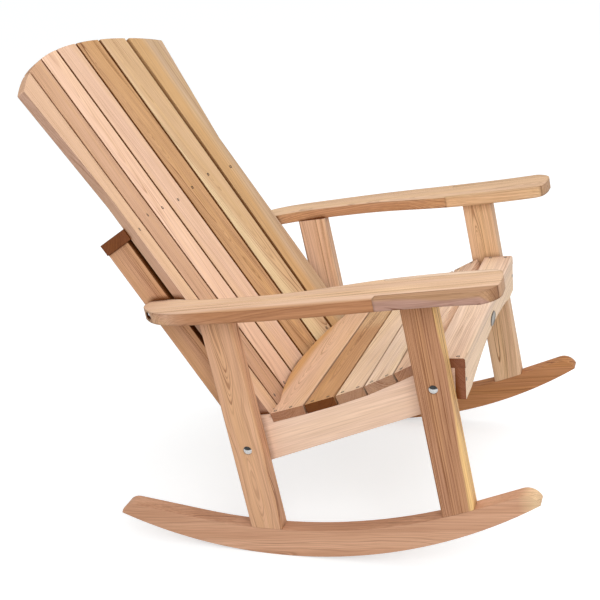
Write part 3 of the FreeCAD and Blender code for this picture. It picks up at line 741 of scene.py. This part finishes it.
# %% Set the screws
pair_offset = 0.017
for name in sorted(name for name in boards if "back_slat" in name):
    centre, length, _, thin = boards[name]
    for rail in ("upper_back_rail", "lower_back_rail"):
        along = (middle_of(rail) - centre).dot(length)
        add_screw(name, centre + length * along, thin)
rail_x = middle_of("left_side_rail").x
for name in sorted(name for name in boards if "seat_slat" in name):
    centre, _, width, thin = boards[name]
    for side in (-rail_x, rail_x):
        for offset in (-pair_offset, pair_offset):
            add_screw(name, Vector((side, centre.y, centre.z)) + width * offset, thin)
centre, _, _, thin = boards["front_apron"]
facing = thin if thin.y < 0 else -thin
for side in (-rail_x, rail_x):
    add_screw("front_apron", Vector((side, centre.y, centre.z)), facing)
bpy.data.objects.remove(screw)
print("screws set:", len(screws))

# %% [markdown]
# ## A bare plate on the apron
# A small oval plate is pinned below the front slat, a little to the sitter's left of the middle. It has
# a raised rim and a plain, brushed field. A cylinder is drawn out to an oval, and its top is inset and
# pushed down to leave the rim.

# %% Model the plate
plate_long, plate_high, plate_thick = 0.052, 0.025, 0.0016
plate_edge, plate_rim, plate_hollow = 0.0004, 0.0014, 0.0005
bpy.ops.object.select_all(action="DESELECT")
bpy.ops.mesh.primitive_cylinder_add(vertices=56, radius=0.5, depth=1.0, location=(0, 0, 0))
plate = bpy.context.object
plate.name = "apron_plate"
bpy.ops.object.mode_set(mode="EDIT")
bpy.ops.mesh.select_mode(type="FACE")
bpy.ops.mesh.select_all(action="SELECT")
bpy.ops.transform.resize(value=(plate_long, plate_high, plate_thick))
pick_top(plate)
bpy.ops.mesh.bevel(offset=plate_edge, segments=2)
pick_top(plate)
bpy.ops.mesh.inset(thickness=plate_rim, depth=0.0)
bpy.ops.mesh.extrude_region_move(TRANSFORM_OT_translate={"value": (0, 0, -plate_hollow)})
bpy.ops.mesh.select_all(action="SELECT")
bpy.ops.mesh.normals_make_consistent(inside=False)
bpy.ops.object.mode_set(mode="OBJECT")
plate.data.materials.append(plate_metal)
print("plate faces:", len(plate.data.polygons))

# %% [markdown]
# The plate is placed as the screws are, by a ray that meets the apron from in front. Its height is
# measured down from the apron's top edge, and it lies level.

# %% Set the plate on the apron
plate_x, plate_below_edge = 0.013, 0.023
top_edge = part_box("front_apron")[1][2]
plate_centre = Vector((plate_x, centre.y, top_edge - plate_below_edge))
place, normal = on_surface("front_apron", plate_centre, facing)
stand(plate, place + normal * plate_thick / 2, normal, Vector((1, 0, 0)))
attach(plate, "root")
print("plate at", [round(v, 3) for v in place])

# %% [markdown]
# ## The floor
# The chair stands on a plain white floor that still takes its shadow. The paint is a light grey, which
# shows light and shadow alike, and a steady glow lifts it to white. The glow is there for the camera and
# for reflections only, so it throws no light on the chair.

# %% Floor
white = (1, 1, 1, 1)
floor_size = 40.0
floor_paint = (0.60, 0.62, 0.63, 1)
floor_glow = 0.56
patch_scale = 3.0
least_rough, most_rough = 0.88, 0.96
bpy.ops.object.select_all(action="DESELECT")
bpy.ops.mesh.primitive_plane_add(size=floor_size, location=(0, 0, 0))
floor = bpy.context.object
floor.name = "floor"
floor_material, tree = new_material("white_floor")
path = tree.nodes.new("ShaderNodeLightPath").outputs
mirrored = calc(tree, "MAXIMUM", path["Is Glossy Ray"], path["Is Transmission Ray"])
seen = calc(tree, "MAXIMUM", path["Is Camera Ray"], mirrored)
where = tree.nodes.new("ShaderNodeTexCoord").outputs["Object"]
patches = put(tree, "ShaderNodeTexNoise", {"Vector": where, "Scale": patch_scale}).outputs["Fac"]
matt = remap(tree, patches, 0, 1, least_rough, most_rough)
painted = put(tree, "ShaderNodeBsdfPrincipled", {"Base Color": floor_paint, "Roughness": matt,
                                                 "Specular IOR Level": 0.0})
glow_strength = calc(tree, "MULTIPLY", seen, floor_glow)
glow = put(tree, "ShaderNodeEmission", {"Color": white, "Strength": glow_strength})
both = put(tree, "ShaderNodeAddShader", {0: painted.outputs[0], 1: glow.outputs[0]})
put(tree, "ShaderNodeOutputMaterial", {0: both.outputs[0]})
floor.data.materials.append(floor_material)
print("floor", floor.dimensions[:])

# %% [markdown]
# ## The world
# The world answers three kinds of ray. To the camera it is pure white. On the chair it throws an even
# light at a plain level. To the polished bolt heads it shows white below the horizon and dark above it,
# as a bright floor under a dark ceiling would, because a bolt in an all-white room looks flat.

# %% World
even_light, ceiling_shown = 0.72, 0.12
horizon_from, horizon_to = -0.02, 0.16
world = bpy.data.worlds.new("white_room")
bpy.context.scene.world = world
world.use_nodes = True
tree = world.node_tree
tree.nodes.clear()
path = tree.nodes.new("ShaderNodeLightPath").outputs
where = tree.nodes.new("ShaderNodeTexCoord").outputs["Generated"]
height = put(tree, "ShaderNodeSeparateXYZ", {0: where}).outputs[2]
ceiling = remap(tree, height, horizon_from, horizon_to, 1.0, ceiling_shown)
lit = put(tree, "ShaderNodeBackground", {"Color": white, "Strength": even_light})
plain = put(tree, "ShaderNodeBackground", {"Color": white, "Strength": 1.0})
shown = put(tree, "ShaderNodeBackground", {"Color": white, "Strength": ceiling})
mirrored = calc(tree, "MAXIMUM", path["Is Glossy Ray"], path["Is Transmission Ray"])
unseen = put(tree, "ShaderNodeMixShader", {0: mirrored, 1: lit.outputs[0], 2: shown.outputs[0]})
to_camera = path["Is Camera Ray"]
choose = put(tree, "ShaderNodeMixShader", {0: to_camera, 1: unseen.outputs[0], 2: plain.outputs[0]})
put(tree, "ShaderNodeOutputWorld", {0: choose.outputs[0]})
print("world nodes:", len(tree.nodes))

# %% [markdown]
# ## The lamps
# Two large square lamps give the chair its soft shading. The stronger one is up on the sitter's right and
# a little in front, and the other hangs above the seat. They are hidden from reflections, or the bolt
# heads would show two bright squares.

# %% Lamps
lamp_aim = Vector((0, 0, 0.4))


def softbox(name, place, size, power):
    """A square area lamp aimed at the seat."""
    lamp = bpy.data.lights.new(name, "AREA")
    lamp.energy = power
    lamp.size = size
    holder = bpy.data.objects.new(name, lamp)
    bpy.context.scene.collection.objects.link(holder)
    holder.location = place
    holder.visible_glossy = False
    holder.rotation_euler = (lamp_aim - Vector(place)).to_track_quat("-Z", "Y").to_euler()


softbox("key_softbox", place=(-3.0, -1.5, 2.6), size=2.5, power=60)
softbox("top_softbox", place=(0.3, -0.8, 4.0), size=3.0, power=40)
bpy.context.scene.view_settings.view_transform = "Standard"
print("lamps and world ready")
